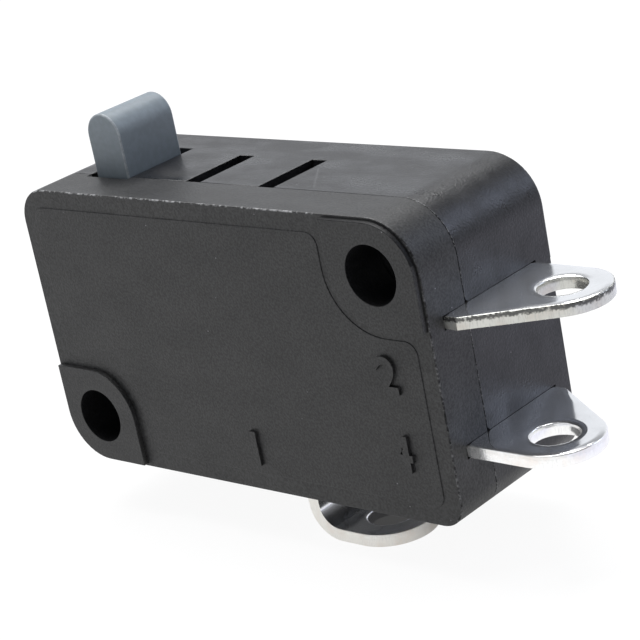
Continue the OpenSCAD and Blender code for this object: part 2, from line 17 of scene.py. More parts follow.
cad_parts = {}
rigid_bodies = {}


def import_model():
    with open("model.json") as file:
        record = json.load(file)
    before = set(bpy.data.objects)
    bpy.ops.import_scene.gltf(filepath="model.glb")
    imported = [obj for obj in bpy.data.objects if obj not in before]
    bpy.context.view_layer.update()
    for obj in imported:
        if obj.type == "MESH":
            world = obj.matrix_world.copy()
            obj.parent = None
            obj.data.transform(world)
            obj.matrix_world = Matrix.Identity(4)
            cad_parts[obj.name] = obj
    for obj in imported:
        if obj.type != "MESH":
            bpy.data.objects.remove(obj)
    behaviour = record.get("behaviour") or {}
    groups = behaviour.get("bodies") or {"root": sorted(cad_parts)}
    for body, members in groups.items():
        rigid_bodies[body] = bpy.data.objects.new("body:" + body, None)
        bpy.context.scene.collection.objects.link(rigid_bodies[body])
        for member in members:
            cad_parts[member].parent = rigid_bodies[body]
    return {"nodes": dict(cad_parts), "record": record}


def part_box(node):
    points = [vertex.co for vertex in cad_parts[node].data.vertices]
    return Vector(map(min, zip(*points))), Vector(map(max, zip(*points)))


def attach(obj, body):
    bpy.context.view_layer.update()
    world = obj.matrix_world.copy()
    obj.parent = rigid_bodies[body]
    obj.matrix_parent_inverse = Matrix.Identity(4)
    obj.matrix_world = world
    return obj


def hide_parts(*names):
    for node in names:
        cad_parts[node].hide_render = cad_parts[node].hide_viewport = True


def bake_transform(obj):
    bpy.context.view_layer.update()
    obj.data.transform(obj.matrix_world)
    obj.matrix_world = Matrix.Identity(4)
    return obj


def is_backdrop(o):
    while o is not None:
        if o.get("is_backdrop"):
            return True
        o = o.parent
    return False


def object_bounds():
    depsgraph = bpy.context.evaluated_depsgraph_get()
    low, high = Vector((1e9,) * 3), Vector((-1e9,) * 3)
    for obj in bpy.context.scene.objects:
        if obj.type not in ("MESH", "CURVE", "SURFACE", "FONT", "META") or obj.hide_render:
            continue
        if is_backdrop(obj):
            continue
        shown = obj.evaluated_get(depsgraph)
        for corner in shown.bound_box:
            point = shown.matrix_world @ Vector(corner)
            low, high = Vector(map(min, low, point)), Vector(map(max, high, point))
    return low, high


MM = 0.001
LUG_THICKNESS = 0.7 * MM
PANEL_LEVEL = -4.92 * MM
WHITE = (1.0, 1.0, 1.0)
log = logging.getLogger("micro_switch")

Piece = bpy.types.Object
Material = bpy.types.Material
Face = bpy.types.MeshPolygon
Socket = bpy.types.NodeSocket
Colour = tuple[float, float, float]
Point = tuple[float, float, float]
Pair = tuple[float, float]
EdgeKey = tuple[int, int]
FaceTest = Callable[[Vector, Vector], bool]
PointTest = Callable[[Vector], bool]


class Rides(Enum):
    """Bodies of the frame that the pieces move with."""

    HOUSING = "housing"
    BUTTON = "button"
    LEVER = "lever"
    ARM = "arm"


class Picks(Enum):
    """What is picked on a mesh in edit mode."""

    CORNERS = "VERT"
    EDGES = "EDGE"
    FACES = "FACE"


def toned(colour: Colour, factor: float) -> Colour:
    """A colour made darker or lighter by one factor."""
    return tuple(part * factor for part in colour)


class NodeSheet:
    """Node tree that is laid out node by node."""

    def __init__(self, tree: bpy.types.NodeTree) -> None:
        """Starts with an empty tree."""
        self.tree = tree
        self.tree.nodes.clear()

    def node(self, kind: str) -> bpy.types.Node:
        """Adds a node of one kind and returns it."""
        return self.tree.nodes.new(kind)

    def link(self, source: Socket, target: Socket) -> None:
        """Joins an output to an input."""
        self.tree.links.new(source, target)

    def feed(self, value: object, target: Socket) -> None:
        """Sets an input to a constant, or joins an output to it.

        Args:
            value: A number, a colour or another node's output.
            target: The input to set.
        """
        if isinstance(value, Socket):
            self.link(value, target)
        elif isinstance(value, tuple) and len(target.default_value) == 4:
            target.default_value = (*value, 1.0)
        else:
            target.default_value = value

    def part(self, vector: Socket, axis: str) -> Socket:
        """One of a vector's three parts.

        Args:
            vector: The vector.
            axis: X, Y or Z.

        Returns:
            The part along that axis.
        """
        node = self.node("ShaderNodeSeparateXYZ")
        self.link(vector, node.inputs["Vector"])
        return node.outputs[axis]

    def fade(self, value: Socket, start: float, end: float) -> Socket:
        """Smooth step.

        Args:
            value: What it follows.
            start: Value at which it is 0.
            end: Value at which it is 1.

        Returns:
            The step from 0 to 1.
        """
        node = self.node("ShaderNodeMapRange")
        node.interpolation_type = "SMOOTHSTEP"
        self.link(value, node.inputs["Value"])
        node.inputs["From Min"].default_value = start
        node.inputs["From Max"].default_value = end
        return node.outputs["Result"]

    def between(self, value: Socket, low: float, high: float) -> Socket:
        """Takes a value from 0 to 1 onto a range.

        Args:
            value: What it follows.
            low: Result at 0.
            high: Result at 1.

        Returns:
            The value on that range.
        """
        node = self.node("ShaderNodeMapRange")
        self.link(value, node.inputs["Value"])
        node.inputs["To Min"].default_value = low
        node.inputs["To Max"].default_value = high
        return node.outputs["Result"]

    def math(self, operation: str, first: object, second: object = 0.0) -> Socket:
        """Works out one operation.

        Args:
            operation: Its name in the Math node.
            first: Number or output.
            second: Number or output, where the operation takes two.

        Returns:
            The result.
        """
        node = self.node("ShaderNodeMath")
        node.operation = operation
        self.feed(first, node.inputs[0])
        self.feed(second, node.inputs[1])
        return node.outputs["Value"]

    def product(self, *values: object) -> Socket:
        """Multiplies two or more numbers or outputs.

        Args:
            values: What is multiplied.

        Returns:
            The product.
        """
        result = values[0]
        for value in values[1:]:
            result = self.math("MULTIPLY", result, value)
        return result

    def mix(self, factor: object, first: object, second: object) -> Socket:
        """Mixes two colours.

        Args:
            factor: 0 gives the first colour and 1 the second.
            first: Colour or output.
            second: Colour or output.

        Returns:
            The mixed colour.
        """
        node = self.node("ShaderNodeMix")
        node.data_type = "RGBA"
        colours = [socket for socket in node.inputs if socket.type == "RGBA"]
        self.feed(factor, node.inputs["Factor"])
        self.feed(first, colours[0])
        self.feed(second, colours[1])
        return next(socket for socket in node.outputs if socket.type == "RGBA")


class Recipe(NodeSheet):
    """Node tree of one material, with a plain shader on Object coordinates."""

    def __init__(self, name: str) -> None:
        """Starts a material.

        Args:
            name: Name of the material.
        """
        self.material = bpy.data.materials.new(name)
        self.material.use_nodes = True
        super().__init__(self.material.node_tree)
        self.shader = self.node("ShaderNodeBsdfPrincipled")
        self.surface = self.node("ShaderNodeOutputMaterial").inputs["Surface"]
        self.link(self.shader.outputs["BSDF"], self.surface)
        self.place = self.node("ShaderNodeTexCoord").outputs["Object"]

    def give(self, name: str, value: object) -> None:
        """Sets one of the shader's inputs to a constant or an output."""
        self.feed(value, self.shader.inputs[name])

    def along(self, axis: str) -> Socket:
        """One of the Object coordinates, X, Y or Z."""
        return self.part(self.place, axis)

    def reach(self, axis: Pair) -> Socket:
        """Distance from an upright axis.

        Args:
            axis: Its place along X and Y.

        Returns:
            Metres from the axis.
        """
        aside = [self.math("SUBTRACT", self.along(name), middle) for name, middle in zip("XY", axis)]
        squares = [self.product(part, part) for part in aside]
        return self.math("SQRT", self.math("ADD", *squares))

    def noise(self, size: float, detail: float = 2.0, stretch: Point = (1.0, 1.0, 1.0)) -> Socket:
        """Soft noise from 0 to 1.

        Args:
            size: Rough size of its patches in metres.
            detail: How many finer layers it has.
            stretch: Factors on the coordinates, below 1 to draw the patches out along that axis.

        Returns:
            The noise value.
        """
        mapping = self.node("ShaderNodeMapping")
        mapping.inputs["Scale"].default_value = stretch
        self.link(self.place, mapping.inputs["Vector"])
        node = self.node("ShaderNodeTexNoise")
        node.inputs["Scale"].default_value = 1.0 / size
        node.inputs["Detail"].default_value = detail
        self.link(mapping.outputs["Vector"], node.inputs["Vector"])
        return node.outputs["Fac"]

    def specks(self, spacing: float) -> Socket:
        """Distance to the nearest of scattered points.

        Args:
            spacing: Rough distance between them in metres.

        Returns:
            The distance, in parts of that spacing.
        """
        node = self.node("ShaderNodeTexVoronoi")
        node.inputs["Scale"].default_value = 1.0 / spacing
        self.link(self.place, node.inputs["Vector"])
        return node.outputs["Distance"]

    def bump(self, height: Socket, depth: float) -> None:
        """Gives the shader a bumpy surface.

        Args:
            height: Height from 0 to 1.
            depth: Metres that a height of 1 stands for.
        """
        node = self.node("ShaderNodeBump")
        node.inputs["Distance"].default_value = depth
        self.link(height, node.inputs["Height"])
        self.give("Normal", node.outputs["Normal"])


@dataclass(frozen=True)
class Scuff:
    """Faint straight rub on a level face: its direction across, its place that way, its ends along Y."""

    across: Point
    offset: float
    ends: Pair
    level: float
    colour: Colour
    width: float = 0.09 * MM
    core: float = 0.2
    fade: float = 0.3 * MM
    skin: float = 0.1 * MM
    patch: float = 0.25 * MM
    faintest: float = 0.3

    def over(self, recipe: Recipe, under: Socket) -> Socket:
        """Lays the rub over a colour.

        Args:
            recipe: Material under way.
            under: Colour without the rub.

        Returns:
            The colour with it.
        """
        dot = recipe.node("ShaderNodeVectorMath")
        dot.operation = "DOT_PRODUCT"
        recipe.link(recipe.place, dot.inputs[0])
        dot.inputs[1].default_value = self.across
        aside = recipe.math("ABSOLUTE", recipe.math("SUBTRACT", dot.outputs["Value"], self.offset))
        amount = recipe.product(
            recipe.fade(aside, self.width, self.width * self.core),
            recipe.fade(recipe.along("Y"), self.ends[0], self.ends[0] + self.fade),
            recipe.fade(recipe.along("Y"), self.ends[1], self.ends[1] - self.fade),
            recipe.fade(recipe.along("Z"), self.level - self.skin, self.level - self.skin / 2),
            recipe.between(recipe.noise(self.patch, 3.0), self.faintest, 1.0),
        )
        return recipe.mix(amount, under, self.colour)


@dataclass(frozen=True)
class MouldedPlastic:
    """Moulded plastic with a fine spark texture, faint mottling and a few specks of dust."""

    name: str
    colour: Colour
    dust: Colour
    roughness: float = 0.42
    grain: float = 0.12 * MM
    grain_depth: float = 0.021 * MM
    grain_fade: Pair = (0.3, 0.7)
    contrast: float = 0.75
    mottle: float = 1.6 * MM
    mottle_stretch: Point = (0.5, 1.0, 1.0)
    mottle_fade: Pair = (0.3, 0.7)
    mottling: float = 0.04
    dust_spacing: float = 0.9 * MM
    dust_patch: float = 2.2
    dust_fade: Pair = (0.5, 0.58)
    dust_size: float = 0.05
    dust_core: float = 0.6
    gloss: float = 0.42
    scuffs: tuple[Scuff, ...] = ()

    def surface(self, recipe: Recipe) -> Socket:
        """Lays the texture and returns the colour before any wear.

        Args:
            recipe: Material under way.

        Returns:
            The plastic's colour.
        """
        recipe.give("Specular IOR Level", self.gloss)
        grain = recipe.noise(self.grain, 3.0)
        deep = toned(self.colour, 1.0 - self.contrast)
        pale = toned(self.colour, 1.0 + self.contrast)
        body = recipe.mix(recipe.fade(grain, *self.grain_fade), deep, pale)
        core = self.dust_size * self.dust_core
        speck = recipe.fade(recipe.specks(self.dust_spacing), self.dust_size, core)
        rare = recipe.fade(recipe.noise(self.dust_spacing * self.dust_patch), *self.dust_fade)
        colour = recipe.mix(recipe.product(speck, rare), body, self.dust)
        mottle = recipe.fade(recipe.noise(self.mottle, 5.0, self.mottle_stretch), *self.mottle_fade)
        roughest = self.roughness + self.mottling
        recipe.give("Roughness", recipe.between(mottle, roughest, self.roughness - self.mottling))
        recipe.bump(grain, self.grain_depth)
        for scuff in self.scuffs:
            colour = scuff.over(recipe, colour)
        return colour

    def material(self) -> Material:
        """Makes the finish.

        Returns:
            Its material.
        """
        recipe = Recipe(self.name)
        recipe.give("Base Color", self.surface(recipe))
        return recipe.material


@dataclass(frozen=True)
class WornShadedEdge:
    """Edge of a moulding, rubbed pale in short broken stretches up to an end along X, with dark, less
    glossy dashes of painted shade along its rough flash.
    """

    name: str
    plastic: MouldedPlastic
    scuffed: Colour
    dark_mark: Colour = (0.005, 0.005, 0.005)
    shade_gloss: float = 0.35
    shade_dash: float = 1.7
    dash: float = 0.2 * MM
    dash_fade: Pair = (-0.06, 0.14)
    reach: float = 2.2 * MM
    gathering: float = 0.3
    cover: float = 0.5
    shade_share: float = 0.0
    end: float = 1.0
    tail: float = 0.6 * MM

    def material(self) -> Material:
        """Makes the finish.

        Returns:
            Its material.
        """
        recipe = Recipe(self.name)
        plain = self.plastic.surface(recipe)
        before_end = recipe.fade(recipe.along("X"), self.end, self.end - self.tail)
        worn = recipe.product(self.broken(recipe, 1.0, self.cover), before_end)
        # dark dashes: painted shade along the rough flashed edge, with less gloss there
        dark_mark = self.broken(recipe, self.shade_dash, self.shade_share)
        recipe.give("Base Color", recipe.mix(dark_mark, recipe.mix(worn, plain, self.scuffed), self.dark_mark))
        gloss = self.plastic.gloss
        recipe.give("Specular IOR Level", recipe.between(dark_mark, gloss, gloss * self.shade_gloss))
        return recipe.material

    def broken(self, recipe: Recipe, scale: float, share: float) -> Socket:
        """Short dashes that gather in some stretches.

        Args:
            recipe: Material under way.
            scale: Factor on the length of a dash and of a stretch.
            share: How much of the edge they take.

        Returns:
            1 on a dash and 0 beside it.
        """
        stretches = recipe.between(recipe.noise(self.reach * scale), -self.gathering, self.gathering)
        amount = recipe.math("ADD", recipe.noise(self.dash * scale, 5.0), stretches)
        return recipe.fade(amount, *(1.0 - share + part for part in self.dash_fade))


@dataclass(frozen=True)
class TinPlate:
    """Bright tin on rolled sheet: nearly a mirror, with a faint film and fine pits."""

    name: str
    colour: Colour = (0.86, 0.865, 0.87)
    roughness: float = 0.1
    metallic: float = 0.94
    roughness_factors: Pair = (0.5, 1.6)
    film: float = 1.2 * MM
    film_fade: Pair = (0.35, 0.75)
    film_tone: float = 0.93
    pit: float = 0.2 * MM
    pit_fade: Pair = (0.7, 0.76)
    pit_tone: float = 0.8
    wave: float = 0.6 * MM
    wave_depth: float = 0.0015 * MM

    def material(self) -> Material:
        """Makes the finish.

        Returns:
            Its material.
        """
        recipe = Recipe(self.name)
        recipe.give("Metallic", self.metallic)
        film = recipe.noise(self.film, 5.0)
        pits = recipe.fade(recipe.noise(self.pit, 3.0), *self.pit_fade)
        cloud = toned(self.colour, self.film_tone)
        clouded = recipe.mix(recipe.fade(film, *self.film_fade), self.colour, cloud)
        recipe.give("Base Color", recipe.mix(pits, clouded, toned(self.colour, self.pit_tone)))
        ends = (self.roughness * factor for factor in self.roughness_factors)
        recipe.give("Roughness", recipe.between(film, *ends))
        recipe.bump(recipe.noise(self.wave), self.wave_depth)
        return recipe.material


@dataclass(frozen=True)
class ShearedRim:
    """Punched rim of a lug: pale drawn metal with a torn dark line under its rolled edge."""

    name: str
    eyelet: Point
    colour: Colour
    tear: float
    thickness: float = LUG_THICKNESS
    eyelet_reach: float = 1.4 * MM
    eyelet_fade: float = 1.1
    dark_mark: Colour = (0.1, 0.1, 0.095)
    warmth: Colour = (0.92, 0.87, 0.84)
    streak: float = 0.84
    roughness: float = 0.17
    roughness_swing: Pair = (-0.08, 0.12)
    metallic: float = 0.7
    tear_starts: Pair = (0.06, 0.14)
    tear_ends: Pair = (0.5, 0.32)
    rag: float = 0.12 * MM
    rag_depth: float = 0.25
    patch: float = 0.3 * MM
    patch_fade: Pair = (0.3, 0.46)
    line: float = 0.05 * MM
    line_stretch: Point = (1.0, 1.0, 0.14)
    line_fade: Pair = (0.52, 0.3)
    stain: float = 1.4 * MM
    stain_fade: Pair = (0.45, 0.7)
    relief: float = 0.004 * MM

    @property
    def top(self) -> float:
        """Height of the lug's upper face."""
        return self.eyelet[2] + self.thickness / 2

    def torn_line(self, recipe: Recipe) -> Socket:
        """The torn line, which leaves the eyelet out.

        Args:
            recipe: Material under way.

        Returns:
            How torn the metal is, from 0 to 1.
        """
        depth = recipe.math("SUBTRACT", self.top, recipe.along("Z"))
        share = recipe.math("DIVIDE", depth, self.thickness)
        rags = recipe.between(recipe.noise(self.rag, 5.0), -self.rag_depth, self.rag_depth)
        ragged = recipe.math("ADD", share, rags)
        clear = self.eyelet_reach * self.eyelet_fade
        outer = recipe.fade(recipe.reach(self.eyelet[:2]), self.eyelet_reach, clear)
        return recipe.product(
            recipe.fade(ragged, *self.tear_starts),
            recipe.fade(ragged, *self.tear_ends),
            recipe.fade(recipe.noise(self.patch, 5.0), *self.patch_fade),
            recipe.between(outer, 0.0, self.tear),
        )

    def material(self) -> Material:
        """Makes the finish.

        Returns:
            Its material.
        """
        recipe = Recipe(self.name)
        recipe.give("Metallic", self.metallic)
        drawn = recipe.noise(self.line, 3.0, self.line_stretch)
        stain = recipe.fade(recipe.noise(self.stain, 3.0), *self.stain_fade)
        warm = tuple(part * factor for part, factor in zip(self.colour, self.warmth))
        tone = recipe.mix(stain, self.colour, warm)
        lines = recipe.fade(drawn, *self.line_fade)
        streaked = recipe.mix(lines, tone, toned(self.colour, self.streak))
        recipe.give("Base Color", recipe.mix(self.torn_line(recipe), streaked, self.dark_mark))
        ends = (self.roughness + part for part in self.roughness_swing)
        recipe.give("Roughness", recipe.between(drawn, *ends))
        recipe.bump(drawn, self.relief)
        return recipe.material


@dataclass(frozen=True)
class RolledMetal:
    """Sheet, wire or turned metal with fine lines along one direction."""

    name: str
    colour: Colour
    roughness: float = 0.28
    line_stretch: Point = (0.08, 1.0, 1.0)
    line: float = 0.08 * MM
    roughness_swing: Pair = (-0.08, 0.12)
    stain: float = 2.4 * MM
    stain_fade: Pair = (0.3, 0.75)
    stain_tone: float = 0.8
    relief: float = 0.004 * MM

    def material(self) -> Material:
        """Makes the finish.

        Returns:
            Its material.
        """
        recipe = Recipe(self.name)
        recipe.give("Metallic", 1.0)
        lines = recipe.noise(self.line, 3.0, self.line_stretch)
        clean = recipe.fade(recipe.noise(self.stain, 4.0), *self.stain_fade)
        recipe.give("Base Color", recipe.mix(clean, toned(self.colour, self.stain_tone), self.colour))
        ends = (self.roughness + part for part in self.roughness_swing)
        recipe.give("Roughness", recipe.between(lines, *ends))
        recipe.bump(lines, self.relief)
        return recipe.material


DUST = (0.16, 0.16, 0.17)
TOP_RUB = Scuff(
    across=(0.799, 0.601, 0.0), offset=11.98 * MM, ends=(-1.75 * MM, 1.2 * MM), level=13.1 * MM,
    colour=(0.05, 0.05, 0.052)
)
CASE_BLACK = MouldedPlastic(
    "case_black", (0.006, 0.006, 0.007), DUST, roughness=0.34, mottling=0.09, gloss=0.46,
    scuffs=(TOP_RUB,)
)
COVER_BLACK = MouldedPlastic("cover_black", (0.0125, 0.0125, 0.0127), DUST, roughness=0.46)
# Darker, duller copy of the black plastic: painted shade on the mounting-hole walls and the upper front
# pad's upper wall
RECESS_SHADE = MouldedPlastic("recess_shade", (0.004, 0.004, 0.0045), DUST, roughness=0.5, gloss=0.2)
# Edge finishes: pale rubbed wear plus dark dashes of painted shade; the corner and seam ones carry more
# painted shade
WORN_SHADED_EDGE = WornShadedEdge("worn_shaded_edge", COVER_BLACK, (0.26, 0.26, 0.265), end=19.2 * MM)
WORN_SHADED_CORNER = WornShadedEdge(
    "worn_shaded_corner", COVER_BLACK, (0.09, 0.09, 0.093), dash=0.16 * MM, cover=0.48, shade_share=0.47
)
WORN_SHADED_SEAM = WornShadedEdge("worn_shaded_seam", CASE_BLACK, (0.17, 0.17, 0.175), dash=0.14 * MM, shade_share=0.3)
PLUNGER_GREY = MouldedPlastic(
    "plunger_grey", (0.156, 0.185, 0.208), (0.2, 0.23, 0.25), roughness=0.46, grain=0.3 * MM,
    grain_depth=0.0003 * MM, contrast=0.06, gloss=0.5
)
# Paler copy of the plunger grey: painted highlight on its rounded end edges
PLUNGER_HIGHLIGHT = MouldedPlastic(
    "plunger_highlight", (0.25, 0.275, 0.295), (0.3, 0.32, 0.34), roughness=0.4, grain=0.2 * MM,
    grain_depth=0.0003 * MM, contrast=0.2, gloss=0.5
)
BRASS = (0.72, 0.5, 0.22)
STEEL = (0.5, 0.5, 0.52)
SILVER = (0.84, 0.83, 0.8)
ROUND_PIN = (1.0, 0.08, 1.0)
UPRIGHT = (1.0, 1.0, 0.08)
TURNED = (1.0, 1.0, 0.2)
SPRING_STEEL = RolledMetal("spring_steel", STEEL, 0.25)
INNER_FINISHES = {
    "actuating_lever": MouldedPlastic(
        "natural_nylon", (0.6, 0.56, 0.46), (0.7, 0.68, 0.6), grain_depth=0.001 * MM, contrast=0.05
    ),
    "lever_pin": RolledMetal("pin_steel", STEEL, 0.2, ROUND_PIN),
    "contact_arm": RolledMetal("arm_brass", BRASS),
    "moving_contact": RolledMetal("moving_silver", SILVER, 0.3, TURNED),
    "pivot_bracket": RolledMetal("bracket_brass", BRASS, 0.32, UPRIGHT),
    "bracket_rivets": RolledMetal("rivet_brass", BRASS, 0.3, TURNED),
    "nc_contact": RolledMetal("closed_silver", SILVER, 0.3, TURNED),
    "no_contact": RolledMetal("open_silver", SILVER, 0.3, TURNED),
}


@dataclass(frozen=True)
class EdgeRule:
    """Rounding for the outer edges whose two ends pass a test."""

    width: float
    holds: PointTest


@dataclass(frozen=True)
class Outline:
    """Outline of the body in the XZ plane, with its own radius at each corner."""

    low: Pair
    high: Pair
    lower_radii: Pair
    upper_radii: Pair

    def depth(self, point: Vector) -> float:
        """How far inside the outline a point lies.

        Args:
            point: Point of the body, whose depth along Y plays no part.

        Returns:
            Metres from the nearest wall, below zero outside.
        """
        middle_x = (self.low[0] + self.high[0]) / 2
        middle_z = (self.low[1] + self.high[1]) / 2
        radii = self.upper_radii if point.z > middle_z else self.lower_radii
        radius = radii[1] if point.x > middle_x else radii[0]
        past_x = abs(point.x - middle_x) - (self.high[0] - self.low[0]) / 2 + radius
        past_z = abs(point.z - middle_z) - (self.high[1] - self.low[1]) / 2 + radius
        round_part = math.hypot(max(past_x, 0.0), max(past_z, 0.0))
        return radius - round_part - min(max(past_x, past_z), 0.0)


class Bench:
    """Blender's own tools, used on one piece at a time."""

    MERGE = 0.002 * MM
    FLAT = math.radians(0.2)
    RIDGE = math.radians(20)
    SMOOTH = math.radians(32)

    @staticmethod
    def only(piece: Piece) -> None:
        """Selects one piece and nothing else.

        Args:
            piece: Piece that the next operators act on.
        """
        bpy.ops.object.select_all(action="DESELECT")
        piece.select_set(True)
        bpy.context.view_layer.objects.active = piece

    @staticmethod
    def merge(piece: Piece, within: float) -> None:
        """Merges the corners that lie together and the faces that lie flat.

        Args:
            piece: Piece of loose triangles.
            within: Distance up to which corners are one.
        """
        Bench.only(piece)
        bpy.ops.object.mode_set(mode="EDIT")
        bpy.ops.mesh.select_all(action="SELECT")
        bpy.ops.mesh.remove_doubles(threshold=within)
        bpy.ops.mesh.dissolve_limited(angle_limit=Bench.FLAT)
        bpy.ops.object.mode_set(mode="OBJECT")

    @staticmethod
    def copy_of(node: Piece, name: str) -> Piece:
        """Copies a CAD node as a new piece with merged corners and whole flat faces.

        Args:
            node: The node's object.
            name: Name of the new piece.

        Returns:
            The new piece, still without material.
        """
        piece = bpy.data.objects.new(name, node.data.copy())
        bpy.context.scene.collection.objects.link(piece)
        piece.data.materials.clear()
        Bench.merge(piece, Bench.MERGE)
        return piece

    @staticmethod
    def pick(piece: Piece, kind: Picks, test: Callable[[object], bool]) -> None:
        """Selects the corners, edges or faces that pass a test, and stays in edit mode.

        Args:
            piece: Piece to open.
            kind: What is picked.
            test: Whether one corner, edge or face is picked.
        """
        mesh = piece.data
        bpy.ops.object.mode_set(mode="OBJECT")
        Bench.only(piece)
        bpy.ops.object.mode_set(mode="EDIT")
        bpy.ops.mesh.select_mode(type=kind.value)
        bpy.ops.mesh.select_all(action="DESELECT")
        bpy.ops.object.mode_set(mode="OBJECT")
        lists = {Picks.CORNERS: mesh.vertices, Picks.EDGES: mesh.edges, Picks.FACES: mesh.polygons}
        for item in lists[kind]:
            item.select = test(item)
        bpy.ops.object.mode_set(mode="EDIT")

    @staticmethod
    def ridges(mesh: bpy.types.Mesh) -> set[EdgeKey]:
        """Edges whose two faces turn sharply away from each other.

        Args:
            mesh: A closed mesh.

        Returns:
            The keys of those edges.
        """
        sides: dict[EdgeKey, list[Face]] = {}
        for face in mesh.polygons:
            for key in face.edge_keys:
                sides.setdefault(key, []).append(face)
        found = set()
        for key, faces in sides.items():
            if len(faces) == 2 and faces[0].normal.angle(faces[1].normal, 0.0) > Bench.RIDGE:
                if Bench.turns_out(mesh, key, *faces):
                    found.add(key)
        return found

    @staticmethod
    def turns_out(mesh: bpy.types.Mesh, key: EdgeKey, first: Face, second: Face) -> bool:
        """Whether an edge is a ridge rather than a groove, by the way the first face runs along it.

        Args:
            mesh: Mesh of the edge.
            key: Its two corners.
            first: Face on one side.
            second: Face on the other side.

        Returns:
            True on a ridge.
        """
        loop = list(first.vertices)
        start, end = key
        along = mesh.vertices[end].co - mesh.vertices[start].co
        if loop[(loop.index(start) + 1) % len(loop)] != end:
            along = -along
        return first.normal.cross(second.normal).dot(along) > 0

    @staticmethod
    def bevel(piece: Piece, rules: list[EdgeRule], segments: int = 2, profile: float = 0.5) -> None:
        """Rounds the outer edges of a piece, each by the first rule that holds for it.

        Args:
            piece: Piece to round.
            rules: Rules in order of preference.
            segments: Faces across each rounding.
            profile: 0.5 for a round edge, 0 for a square notch in its place.
        """
        mesh = piece.data
        widest = max(rule.width for rule in rules)
        sharp = Bench.ridges(mesh)
        weights = mesh.attributes.new("bevel_weight_edge", "FLOAT", "EDGE")
        for edge in mesh.edges:
            if edge.key in sharp:
                ends = [mesh.vertices[index].co for index in edge.vertices]
                found = next((rule for rule in rules if all(map(rule.holds, ends))), None)
                weights.data[edge.index].value = found.width / widest if found else 0.0
        Bench.only(piece)
        rounding = piece.modifiers.new("rounding", "BEVEL")
        rounding.limit_method = "WEIGHT"
        rounding.width = widest
        rounding.segments = segments
        rounding.profile = profile
        rounding.use_clamp_overlap = False
        rounding.miter_outer = "MITER_ARC"
        bpy.ops.object.modifier_apply(modifier=rounding.name)
        mesh.attributes.remove(mesh.attributes["bevel_weight_edge"])

    @staticmethod
    def smooth(piece: Piece) -> None:
        """Shades the roundings smooth and keeps the flat faces flat.

        Args:
            piece: Piece to shade.
        """
        Bench.only(piece)
        bpy.ops.object.shade_smooth_by_angle(angle=Bench.SMOOTH)
        normals = piece.modifiers.new("flat_faces", "WEIGHTED_NORMAL")
        normals.keep_sharp = True
        bpy.ops.object.modifier_apply(modifier=normals.name)

    @staticmethod
    def dress(piece: Piece, finishes: list[tuple[Material, FaceTest | None]]) -> None:
        """Gives a piece its finishes.

        Args:
            piece: Piece to dress.
            finishes: Materials, the first on every face, each later one on the faces that its test picks.
        """
        piece.data.materials.clear()
        for index, (material, test) in enumerate(finishes):
            piece.data.materials.append(material)
            for face in piece.data.polygons:
                if test is None or test(face.center, face.normal):
                    face.material_index = index

    @staticmethod
    def stand_in(piece: Piece, node: str, body: Rides) -> None:
        """Puts a finished piece in a CAD node's place.

        Args:
            piece: The piece.
            node: Name of the node.
            body: Body that it rides on.
        """
        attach(piece, body.value)
        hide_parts(node)
        log.info("%s stands for %s, %d faces", piece.name, node, len(piece.data.polygons))


